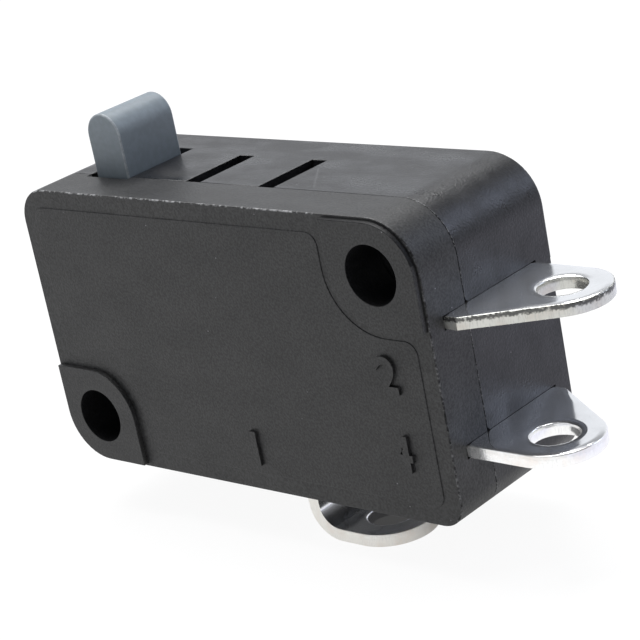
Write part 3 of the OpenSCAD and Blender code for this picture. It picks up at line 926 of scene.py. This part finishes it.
@dataclass
class Housing:
    """Case and cover with their softened rims, parting line, pads and slots."""

    nodes: dict[str, Piece]
    places: dict[str, Point]
    case_finish: MouldedPlastic = CASE_BLACK
    cover_finish: MouldedPlastic = COVER_BLACK
    painted_recess: MouldedPlastic = RECESS_SHADE
    # edge, corner and seam: rubbed wear plus dark dashes of painted shade
    painted_edge: WornShadedEdge = WORN_SHADED_EDGE
    painted_corner: WornShadedEdge = WORN_SHADED_CORNER
    painted_seam: WornShadedEdge = WORN_SHADED_SEAM
    rim_round: float = 0.07 * MM
    panel_drop: float = 0.02 * MM
    panel_round: float = 0.048 * MM
    parting_notch: float = 0.05 * MM
    parting_round: float = 0.035 * MM
    fine_round: float = 0.03 * MM
    near: float = 0.02 * MM
    slot_margin: float = 0.05 * MM
    round_margin: float = 1.05
    slant: Pair = (0.1, 0.995)
    parting: float = -2.0 * MM
    front: float = -4.85 * MM
    panel: float = PANEL_LEVEL
    back: float = 4.95 * MM
    hole_radius: float = 1.57 * MM
    pad_from: float = 18.8 * MM
    lower_radii: Pair = (2.8 * MM, 1.4 * MM)
    upper_radii: Pair = (1.9 * MM, 2.8 * MM)
    outline: Outline = field(init=False)
    holes: list[Point] = field(init=False)
    lug_levels: list[float] = field(init=False)

    def __post_init__(self) -> None:
        """Reads the body's outline, its holes and the levels of its side lugs from the frame."""
        low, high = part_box("case")
        self.outline = Outline((low.x, low.z), (high.x, high.z), self.lower_radii, self.upper_radii)
        self.holes = [self.places[name] for name in ("mounting_hole_lower", "mounting_hole_upper")]
        self.lug_levels = [self.places[name][2] for name in ("nc_eyelet", "no_eyelet")]

    def outside(self, point: Vector) -> bool:
        """Whether a point lies on the outer walls."""
        return self.outline.depth(point) < self.near

    def at_parting(self, point: Vector) -> bool:
        """Whether a point lies on the outer edge of the parting plane."""
        return abs(point.y - self.parting) < self.near and self.outside(point)

    def at_front(self, point: Vector) -> bool:
        """Whether a point lies on the outer edge of the front rim."""
        return abs(point.y - self.front) < self.near and self.outside(point)

    def at_back(self, point: Vector) -> bool:
        """Whether a point lies on the outer edge of the back."""
        return abs(point.y - self.back) < self.near and self.outside(point)

    def in_notch(self, point: Vector) -> bool:
        """Whether a point lies in the notch along the parting plane."""
        reach = self.parting_notch + self.near
        return -reach < point.y - self.parting < self.near and self.outline.depth(point) < reach

    def at_lug(self, point: Vector) -> bool:
        """Whether a point lies on the mouth of a side lug's slot."""
        aside = min(abs(point.z - level) for level in self.lug_levels)
        return aside < LUG_THICKNESS / 2 + self.slot_margin and point.x > self.outline.high[0] - self.near

    def on_panel(self, point: Vector) -> bool:
        """Whether a point lies at the level of the raised panel."""
        return abs(point.y - self.panel) < self.near + self.panel_drop

    def build(self) -> None:
        """Makes both shells."""
        cover = Bench.copy_of(self.nodes["cover"], "cover_shell")
        for vertex in cover.data.vertices:
            if self.on_panel(vertex.co):
                vertex.co.y += self.panel_drop
        Bench.bevel(cover, [EdgeRule(self.parting_notch, self.at_parting)], profile=0.0)
        Bench.bevel(cover, [
            EdgeRule(0.0, self.at_lug),
            EdgeRule(0.0, self.in_notch),
            EdgeRule(self.rim_round, self.at_front),
            EdgeRule(self.panel_round, self.on_panel),
            EdgeRule(self.fine_round, lambda point: point.y < self.front + self.near),
            EdgeRule(self.fine_round, self.outside),
        ])
        Bench.smooth(cover)
        case = Bench.copy_of(self.nodes["case"], "case_shell")
        Bench.bevel(case, [
            EdgeRule(0.0, self.at_lug),
            EdgeRule(self.parting_round, self.at_parting),
            EdgeRule(self.rim_round, self.at_back),
            EdgeRule(self.fine_round, lambda point: point.y > self.back - self.near),
            EdgeRule(self.fine_round, self.outside),
        ])
        Bench.smooth(case)
        self.dress(case, cover)

    def dress(self, case: Piece, cover: Piece) -> None:
        """Gives both shells their finish and puts them in place.

        Args:
            case: Rear shell.
            cover: Front shell.
        """
        # painted shade on the mounting-hole walls and on the upper wall of the upper front pad
        shade_paint = self.painted_recess.material()
        Bench.dress(case, [
            (self.case_finish.material(), None),
            (shade_paint, self.on_bore),
            (self.painted_seam.material(), self.on_seam),
        ])
        Bench.dress(cover, [
            (self.cover_finish.material(), None),
            (shade_paint, self.on_bore),
            (shade_paint, self.on_pad_top),
            (self.painted_edge.material(), self.on_top_edge),
            (self.painted_corner.material(), self.on_end_edge),
        ])
        Bench.stand_in(case, "case", Rides.HOUSING)
        Bench.stand_in(cover, "cover", Rides.HOUSING)

    def on_bore(self, centre: Vector, normal: Vector) -> bool:
        """Whether a face lies on the wall of a mounting hole."""
        reach = min(math.hypot(centre.x - x, centre.z - z) for x, _, z in self.holes)
        return reach < self.hole_radius and abs(normal.y) < 0.5

    def on_round(self, centre: Vector, normal: Vector, level: float, width: float) -> bool:
        """Whether a face lies on an outer rounding that faces the front.

        Args:
            centre: Middle of the face.
            normal: Its direction.
            level: Where the rounding starts along Y.
            width: Width of the rounding.

        Returns:
            True on the rounding.
        """
        edge = width * self.round_margin
        near_level = level - self.near < centre.y < level + edge
        slanting = self.slant[0] < -normal.y < self.slant[1]
        return near_level and slanting and self.outline.depth(centre) < edge

    def on_front_edge(self, centre: Vector, normal: Vector) -> bool:
        """Whether a face lies on the rounded edge of the cover's front."""
        return self.on_round(centre, normal, self.front, self.rim_round)

    def on_top_edge(self, centre: Vector, normal: Vector) -> bool:
        """Whether a face lies on that edge along the top."""
        return self.on_front_edge(centre, normal) and normal.z > max(0.5 * abs(normal.x), 0.1)

    def on_end_edge(self, centre: Vector, normal: Vector) -> bool:
        """Whether a face lies on that edge round the lug end."""
        at_end = normal.x > abs(normal.z) or centre.x > self.pad_from
        return at_end and self.on_front_edge(centre, normal)

    def on_pad_top(self, centre: Vector, normal: Vector) -> bool:
        """Whether a face lies on the upper wall of the upper front pad, which gets painted shade."""
        return centre.y < self.panel - self.near and centre.x > self.pad_from and normal.z > 0.2

    def on_seam(self, centre: Vector, normal: Vector) -> bool:
        """Whether a face lies on the case's rounded edge at the parting line, on the lug end."""
        return normal.x > 0.1 and self.on_round(centre, normal, self.parting, self.parting_round)


@dataclass
class PlungerBar:
    """Bar plunger with a full round crown and a painted highlight, a paler colour, on the rounded edges
    at its ends.
    """

    nodes: dict[str, Piece]
    finish: MouldedPlastic = PLUNGER_GREY
    painted_edge: MouldedPlastic = PLUNGER_HIGHLIGHT
    edge_round: float = 0.1 * MM
    edge_steps: int = 3
    slant: Pair = (0.1, 0.97)

    def build(self) -> None:
        """Makes the plunger."""
        piece = Bench.copy_of(self.nodes["plunger"], "plunger_bar")
        Bench.bevel(piece, [EdgeRule(self.edge_round, lambda point: True)], self.edge_steps)
        Bench.smooth(piece)
        Bench.dress(piece, [(self.finish.material(), None), (self.painted_edge.material(), self.on_edge)])
        Bench.stand_in(piece, "plunger", Rides.BUTTON)

    def on_edge(self, centre: Vector, normal: Vector) -> bool:
        """Whether a face belongs to the rounded edge of an end."""
        return self.slant[0] < abs(normal.y) < self.slant[1]


@dataclass
class Lug:
    """Tinned terminal with a bright face and a sheared rim.

    It shows past lug_from along X and under open_below. A lug with an eyelet_highlight has a rounded
    eyelet in that brighter, glossier tin, a painted highlight.
    """

    nodes: dict[str, Piece]
    node: str
    plate: TinPlate
    rim: ShearedRim
    lug_from: float = 23.5 * MM
    open_below: float = -2.6 * MM
    eyelet_highlight: TinPlate | None = None
    eyelet_round: float = 0.18 * MM
    eyelet_steps: int = 6
    roll_drop: float = 0.05 * MM
    roll_width: float = 0.4 * MM
    roll_round: float = 0.06 * MM
    burr_round: float = 0.03 * MM
    near: float = 0.01 * MM
    snap: float = 0.1 * MM
    rim_margin: float = 0.1 * MM
    level: float = 0.9999
    eyelet_level: float = 0.995
    rim_slant: float = 0.95
    eyelet_slant: float = 0.5

    def build(self) -> None:
        """Makes the terminal."""
        piece = Bench.copy_of(self.nodes[self.node], self.node + "_sheet")
        finishes = [(self.plate.material(), None), (self.rim.material(), self.on_rim)]
        if self.roll_drop:
            self.roll_top(piece)
        if self.eyelet_highlight:
            self.part_top(piece)
            Bench.bevel(piece, [EdgeRule(self.eyelet_round, self.on_eyelet_edge)], self.eyelet_steps)
            finishes.append((self.eyelet_highlight.material(), self.on_eyelet))
        Bench.bevel(piece, [
            EdgeRule(self.roll_round, lambda point: self.on_top(point, self.roll_drop)),
            EdgeRule(self.burr_round, lambda point: point.x > self.lug_from or point.z < self.open_below),
        ])
        Bench.smooth(piece)
        Bench.dress(piece, finishes)
        Bench.stand_in(piece, self.node, Rides.HOUSING)

    def on_top(self, point: Vector, depth: float = 0.0) -> bool:
        """Whether a point of the lug lies at its top, or a depth below it."""
        return abs(point.z - self.rim.top + depth) < self.near and point.x > self.lug_from + self.near

    def is_top(self, face: Face) -> bool:
        """Whether a face is part of the lug's top."""
        return face.normal.z > self.level and self.on_top(face.center)

    def at_eyelet(self, point: Vector) -> bool:
        """Whether a point lies on the eyelet or close round it."""
        x, y, _ = self.rim.eyelet
        return math.hypot(point.x - x, point.y - y) < self.rim.eyelet_reach

    def on_eyelet_edge(self, point: Vector) -> bool:
        """Whether a point lies on the eyelet's upper edge."""
        return self.on_top(point) and self.at_eyelet(point)

    def on_eyelet(self, centre: Vector, normal: Vector) -> bool:
        """Whether a face belongs to the rounded wall of the eyelet."""
        return self.at_eyelet(centre) and normal.z < self.eyelet_level

    def on_rim(self, centre: Vector, normal: Vector) -> bool:
        """Whether a face belongs to the sheared edge of the sheet.

        Args:
            centre: Middle of the face.
            normal: Its direction.

        Returns:
            True on the sheared edge.
        """
        aside = abs(centre.z - self.rim.eyelet[2])
        in_lug = aside < self.rim.thickness / 2 + self.rim_margin and centre.x > self.lug_from
        slant = self.eyelet_slant if self.at_eyelet(centre) else self.rim_slant
        sideways = abs(normal.y) > (1.0 + abs(normal.z)) / 2
        return sideways or (in_lug and abs(normal.z) < slant)

    def part_top(self, piece: Piece) -> None:
        """Parts the top face straight through the eyelet, so that its rounding has room on all sides.

        Args:
            piece: Copy of the terminal.
        """
        mesh = piece.data
        Bench.pick(piece, Picks.FACES, self.is_top)
        bpy.ops.mesh.bisect(plane_co=self.rim.eyelet, plane_no=(0.0, 1.0, 0.0), threshold=self.snap)
        bpy.ops.object.mode_set(mode="OBJECT")
        sides = Counter(key for face in mesh.polygons if self.is_top(face) for key in face.edge_keys)

        def off_cut(edge: bpy.types.MeshEdge) -> bool:
            """Whether an edge runs through the top face away from the cut."""
            aside = max(abs(mesh.vertices[index].co.y - self.rim.eyelet[1]) for index in edge.vertices)
            return sides[edge.key] == 2 and aside > self.snap

        Bench.pick(piece, Picks.EDGES, off_cut)
        bpy.ops.mesh.dissolve_edges(use_verts=False)
        bpy.ops.object.mode_set(mode="OBJECT")

    def roll_top(self, piece: Piece) -> None:
        """Draws the borders of the lug's top face down, as the punch does.

        Args:
            piece: Copy of the terminal.
        """
        mesh = piece.data
        Bench.pick(piece, Picks.FACES, lambda face: True)
        bpy.ops.mesh.bisect(plane_co=(self.lug_from, 0.0, 0.0), plane_no=(1.0, 0.0, 0.0))
        Bench.pick(piece, Picks.FACES, self.is_top)
        bpy.ops.mesh.inset(thickness=self.roll_width, use_boundary=True, use_even_offset=True)
        bpy.ops.object.mode_set(mode="OBJECT")
        inner = {index for face in mesh.polygons if face.select for index in face.vertices}
        for vertex in mesh.vertices:
            if vertex.index not in inner and self.on_top(vertex.co):
                vertex.co.z -= self.roll_drop


@dataclass
class TerminalMark:
    """Raised number beside a terminal, on the front panel."""

    name: str
    number: str
    x: float
    z: float
    finish: MouldedPlastic = COVER_BLACK
    height: float = 1.9 * MM
    height_share: float = 0.73
    rise: float = 0.15 * MM
    sunk: float = 0.05 * MM
    bold: float = 0.08 * MM
    curve_steps: int = 8
    weld: float = 0.001 * MM

    def build(self) -> None:
        """Makes the number on the front panel."""
        bpy.ops.object.select_all(action="DESELECT")
        bpy.ops.object.text_add(rotation=(math.radians(90), 0.0, 0.0))
        text = bpy.context.object
        text.data.body = self.number
        text.data.align_x = "CENTER"
        text.data.align_y = "CENTER"
        text.data.size = self.height / self.height_share
        text.data.extrude = (self.rise + self.sunk) / 2
        text.data.offset = self.bold
        text.data.resolution_u = self.curve_steps
        text.location = (self.x, PANEL_LEVEL + (self.sunk - self.rise) / 2, self.z)
        bpy.ops.object.convert(target="MESH")
        bpy.ops.object.transform_apply(location=True, rotation=True, scale=True)
        piece = bpy.context.object
        piece.name = self.name
        Bench.merge(piece, self.weld)
        bpy.ops.object.mode_set(mode="EDIT")
        bpy.ops.mesh.select_all(action="SELECT")
        bpy.ops.mesh.normals_make_consistent(inside=False)
        bpy.ops.object.mode_set(mode="OBJECT")
        bpy.ops.object.shade_smooth_by_angle(angle=Bench.SMOOTH)
        Bench.dress(piece, [(self.finish.material(), None)])
        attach(piece, Rides.HOUSING.value)
        log.info("%s, %d faces", piece.name, len(piece.data.polygons))


@dataclass
class SnapSpring:
    """Coil spring in two halves: its ends go with the lever and the arm, and its middle stays.

    The halves part along one ring of the wire, where a turn near the middle is at its top.
    """

    nodes: dict[str, Piece]
    finish: RolledMetal = SPRING_STEEL
    lever_eye: Point = (4.45 * MM, 0.0, 6.62 * MM)
    arm_eye: Point = (13.955 * MM, 0.0, 5.62 * MM)
    cut_at: float = 4.847 * MM
    hook: float = 1.3 * MM
    wire_reach: float = 0.22 * MM
    near: float = 0.01 * MM
    along: Vector = field(init=False)

    def __post_init__(self) -> None:
        """Works out the spring's direction."""
        self.along = (Vector(self.arm_eye) - Vector(self.lever_eye)).normalized()

    def build(self) -> None:
        """Makes both halves."""
        first, last = Vector(self.lever_eye), Vector(self.arm_eye)
        wire = self.finish.material()
        rear = self.half("spring_at_lever", last, wire)
        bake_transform(rear)
        front = self.half("spring_at_arm", first, wire)
        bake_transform(front)

    def on_cut(self, point: Vector) -> bool:
        """Whether a point lies on the ring of the wire where the halves part.

        Args:
            point: Corner of the spring's mesh.

        Returns:
            True on the ring.
        """
        offset = point - Vector(self.lever_eye)
        run = offset.dot(self.along)
        above = (offset - self.along * run).z > 0
        return above and abs(run - self.cut_at) < self.wire_reach and abs(point.y) < self.near

    def half(self, name: str, far_eye: Vector, wire: Material) -> Piece:
        """Parts the spring and keeps one half.

        Args:
            name: Name of the half.
            far_eye: Eye at the end that is taken away.
            wire: Finish of the wire.

        Returns:
            The half, closed at the cut.
        """
        piece = Bench.copy_of(self.nodes["snap_spring"], name)
        mesh = piece.data
        ring = {vertex.index for vertex in mesh.vertices if self.on_cut(vertex.co)}
        Bench.pick(piece, Picks.EDGES, lambda edge: ring.issuperset(edge.vertices))
        bpy.ops.mesh.edge_split(type="EDGE")
        bpy.ops.object.mode_set(mode="OBJECT")
        far = min(mesh.vertices, key=lambda vertex: (vertex.co - far_eye).length).index
        Bench.pick(piece, Picks.CORNERS, lambda vertex: vertex.index == far)
        bpy.ops.mesh.select_linked()
        bpy.ops.mesh.delete(type="VERT")
        bpy.ops.mesh.select_all(action="DESELECT")
        bpy.ops.mesh.select_non_manifold()
        bpy.ops.mesh.edge_face_add()
        bpy.ops.object.mode_set(mode="OBJECT")
        Bench.smooth(piece)
        Bench.dress(piece, [(wire, None)])
        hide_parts("snap_spring")
        log.info("%s stands for half of snap_spring, %d faces", piece.name, len(mesh.polygons))
        return piece


@dataclass
class Mechanism:
    """Inner pieces, which keep their solids and get their own finishes."""

    nodes: dict[str, Piece]
    finishes: dict[str, MouldedPlastic | RolledMetal]

    def dress(self) -> None:
        """Gives each inner node its finish."""
        for name, finish in self.finishes.items():
            node = self.nodes[name]
            node.data.materials.clear()
            node.data.materials.append(finish.material())
            log.info("%s dressed as %s", name, finish.name)


@dataclass(frozen=True)
class Lamp:
    """Soft square lamp."""

    name: str
    place: Point
    size: float
    power: float
    tint: Colour = WHITE

    def hang(self, aim: Point) -> None:
        """Hangs the lamp.

        Args:
            aim: Point that it faces.
        """
        light = bpy.data.lights.new(self.name, "AREA")
        light.energy = self.power
        light.size = self.size
        light.color = self.tint
        box = bpy.data.objects.new(self.name, light)
        turn = (Vector(aim) - Vector(self.place)).to_track_quat("-Z", "Y").to_matrix().to_4x4()
        box.matrix_world = Matrix.Translation(self.place) @ turn
        bpy.context.scene.collection.objects.link(box)


@dataclass
class Studio:
    """White floor, soft light and the camera of the photograph."""

    contact: Pair
    eye: Point = (87.209 * MM, -73.993 * MM, 42.552 * MM)
    azimuth: float = 45.004
    elevation: float = 19.719
    roll: float = 11.320
    focal_px: float = 2131.6
    frame_px: float = 640.0
    sensor_mm: float = 36.0
    clip_start: float = 1 * MM
    floor_drop: float = 0.02 * MM
    floor_span: float = 3.0
    floor_colour: Colour = (0.85, 0.85, 0.85)
    floor_faint: Colour = (0.08, 0.08, 0.08)
    floor_glow: float = 0.93
    floor_shade: float = 0.2
    shade_fade: Pair = (-4.0 * MM, 2.0 * MM)
    far_tint: Colour = (0.82, 0.825, 0.96)
    far_fade: Pair = (26 * MM, 52 * MM)
    contact_fade: Pair = (1.7 * MM, 2.2 * MM)
    contact_glow: float = 0.06
    ambient: float = 0.5
    sky_tint: Colour = (0.93, 0.955, 1.0)
    sky_top: Pair = (0.4, 0.58)
    sky_side: Pair = (0.1, 0.6)
    sky_dim: float = 0.42
    aim: Point = (11 * MM, 0.0, 5 * MM)
    lamps: tuple[Lamp, ...] = (
        Lamp("soft_box", (-0.06, 0.06, 0.32), 0.3, 1.9),
        Lamp("window", (0.29, 0.33, 0.235), 0.25, 0.42, (0.7, 0.78, 1.0)),
    )

    def build(self, lowest: float) -> None:
        """Sets the stage.

        Args:
            lowest: Height of the part's lowest point.
        """
        self.camera()
        self.floor(lowest - self.floor_drop)
        self.world()
        for lamp in self.lamps:
            lamp.hang(self.aim)
        bpy.context.scene.view_settings.view_transform = "Standard"

    def camera(self) -> None:
        """Places the camera where the photograph was taken from."""
        lens = bpy.data.cameras.new("camera")
        lens.sensor_width = self.sensor_mm
        lens.lens = self.focal_px * self.sensor_mm / self.frame_px
        lens.clip_start = self.clip_start
        camera = bpy.data.objects.new("camera", lens)
        turn = Matrix.Rotation(math.radians(self.azimuth), 4, "Z")
        tilt = Matrix.Rotation(math.radians(90 - self.elevation), 4, "X")
        spin = Matrix.Rotation(math.radians(-self.roll), 4, "Z")
        camera.matrix_world = Matrix.Translation(self.eye) @ turn @ tilt @ spin
        bpy.context.scene.collection.objects.link(camera)
        bpy.context.scene.camera = camera

    def floor(self, height: float) -> None:
        """Lays the white floor.

        Args:
            height: Height of its surface.
        """
        bpy.ops.object.select_all(action="DESELECT")
        bpy.ops.mesh.primitive_plane_add(size=self.floor_span, location=(0.0, 0.0, height))
        plane = bpy.context.object
        plane.name = "floor"
        plane.data.materials.append(self.floor_finish())
        plane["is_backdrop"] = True

    def floor_finish(self) -> Material:
        """Makes the floor white for the camera, with painted shade under the part where the camera does
        not look at it, a painted cool light on its far side for reflections, and a painted contact shadow
        under the common lug that the camera sees too.

        Returns:
            The floor's material.
        """
        recipe = Recipe("floor_white")
        recipe.give("Base Color", self.floor_colour)
        recipe.give("Roughness", 1.0)
        recipe.give("Specular IOR Level", 0.0)
        path = recipe.node("ShaderNodeLightPath").outputs
        seen = path["Is Camera Ray"]
        # painted shade on the floor under the body, for all but camera rays
        open_floor = recipe.fade(self.past_walls(recipe), *self.shade_fade)
        lit = recipe.between(recipe.math("MAXIMUM", open_floor, seen), self.floor_shade, self.floor_glow)
        # painted contact shadow round the common eyelet
        clear = recipe.fade(recipe.reach(self.contact), *self.contact_fade)
        strength = recipe.product(lit, recipe.between(clear, self.contact_glow, 1.0))
        glow = recipe.node("ShaderNodeEmission")
        recipe.feed(strength, glow.inputs["Strength"])
        # painted cool light on the far right-back floor, for reflections only
        diagonal = recipe.math("ADD", recipe.along("X"), recipe.along("Y"))
        far = recipe.math("SUBTRACT", recipe.fade(diagonal, *self.far_fade), seen)
        recipe.feed(recipe.mix(far, WHITE, self.far_tint), glow.inputs["Color"])
        faint = recipe.node("ShaderNodeBsdfDiffuse")
        recipe.feed(self.floor_faint, faint.inputs["Color"])
        both = recipe.node("ShaderNodeAddShader")
        recipe.link(faint.outputs["BSDF"], both.inputs[0])
        recipe.link(glow.outputs["Emission"], both.inputs[1])
        chosen = recipe.node("ShaderNodeMixShader")
        recipe.link(path["Is Diffuse Ray"], chosen.inputs["Fac"])
        recipe.link(both.outputs["Shader"], chosen.inputs[1])
        recipe.link(recipe.shader.outputs["BSDF"], chosen.inputs[2])
        recipe.link(chosen.outputs["Shader"], recipe.surface)
        return recipe.material

    @staticmethod
    def past_walls(recipe: Recipe) -> Socket:
        """How far a place on the floor lies outside the walls of the body above it.

        Args:
            recipe: The floor's material under way.

        Returns:
            Metres past the nearest wall, below zero under the body.
        """
        low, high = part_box("case")
        past = []
        for axis, first, last in (("X", low.x, high.x), ("Y", low.y, high.y)):
            offset = recipe.math("SUBTRACT", recipe.along(axis), (first + last) / 2)
            past.append(recipe.math("SUBTRACT", recipe.math("ABSOLUTE", offset), (last - first) / 2))
        return recipe.math("MAXIMUM", *past)

    def world(self) -> None:
        """Surrounds the part with white for the camera, and with a cool uneven sky for reflections."""
        world = bpy.data.worlds.new("studio")
        world.use_nodes = True
        bpy.context.scene.world = world
        sheet = NodeSheet(world.node_tree)
        path = sheet.node("ShaderNodeLightPath").outputs
        direction = sheet.node("ShaderNodeTexCoord").outputs["Generated"]
        height = sheet.fade(sheet.part(direction, "Z"), *self.sky_top)
        side = sheet.fade(sheet.part(direction, "X"), *self.sky_side)
        sky = sheet.product(*(sheet.between(share, 1.0, self.sky_dim) for share in (height, side)))
        shown = sheet.math("MAXIMUM", sky, path["Is Camera Ray"])
        most = sheet.between(path["Is Diffuse Ray"], 1.0, self.ambient)
        background = sheet.node("ShaderNodeBackground")
        tint = sheet.mix(path["Is Camera Ray"], self.sky_tint, WHITE)
        sheet.link(tint, background.inputs["Color"])
        sheet.link(sheet.math("MINIMUM", shown, most), background.inputs["Strength"])
        output = sheet.node("ShaderNodeOutputWorld")
        sheet.link(background.outputs["Background"], output.inputs["Surface"])


MARKS = (
    TerminalMark("mark_common", "1", 11.75 * MM, -0.4 * MM),
    TerminalMark("mark_closed", "2", 21.9 * MM, 4.98 * MM),
    TerminalMark("mark_open", "4", 21.96 * MM, 0.81 * MM),
)


def lugs(nodes: dict[str, Piece], places: dict[str, Point]) -> list[Lug]:
    """The three terminals.

    Args:
        nodes: CAD nodes by name.
        places: Middles of the mounts by name.

    Returns:
        The normally closed, the normally open and the common terminal.
    """
    # The three rims are one sheared metal; their different colours paint the light and shade that each
    # rim gets
    closed_rim = ShearedRim("closed_rim", places["nc_eyelet"], (0.62, 0.62, 0.58), 1.0, streak=0.78)
    open_rim = ShearedRim(
        "open_rim", places["no_eyelet"], (0.99, 0.99, 0.98), 0.08, streak=0.9, metallic=0.82
    )
    common_rim = ShearedRim(
        "common_rim", places["common_eyelet"], (0.9, 0.88, 0.83), 0.0, streak=0.92, roughness=0.45,
        eyelet_reach=1.46 * MM
    )
    # Brighter, glossier copy of the tin on the common eyelet's rounding: painted highlight
    eyelet_highlight_tin = TinPlate("eyelet_highlight_tin", (0.96, 0.96, 0.98), roughness=0.16, metallic=0.9)
    return [
        Lug(nodes, "nc_terminal", TinPlate("closed_tin", roughness=0.15), closed_rim),
        Lug(nodes, "no_terminal", TinPlate("open_tin"), open_rim),
        Lug(
            nodes, "common_terminal", TinPlate("common_tin"), common_rim, lug_from=15.0 * MM,
            eyelet_highlight=eyelet_highlight_tin, roll_drop=0.0
        ),
    ]


def corners(box: tuple[Vector, Vector]) -> list[list[float]]:
    """Lowest and highest corner as plain lists."""
    return [list(corner) for corner in box]


def main() -> None:
    """Builds the looks of the switch round its frame."""
    logging.basicConfig(level=logging.INFO, format="%(message)s")
    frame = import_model()
    cad_box = corners(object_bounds())
    nodes = frame["nodes"]
    places = {mount["name"]: tuple(mount["pos_m"]) for mount in frame["record"]["mounts"]}
    Housing(nodes, places).build()
    PlungerBar(nodes).build()
    for lug in lugs(nodes, places):
        lug.build()
    for mark in MARKS:
        mark.build()
    Mechanism(nodes, INNER_FINISHES).dress()
    SnapSpring(nodes).build()
    Studio(places["common_eyelet"][:2]).build(cad_box[0][2])


if __name__ == "__main__":
    main()
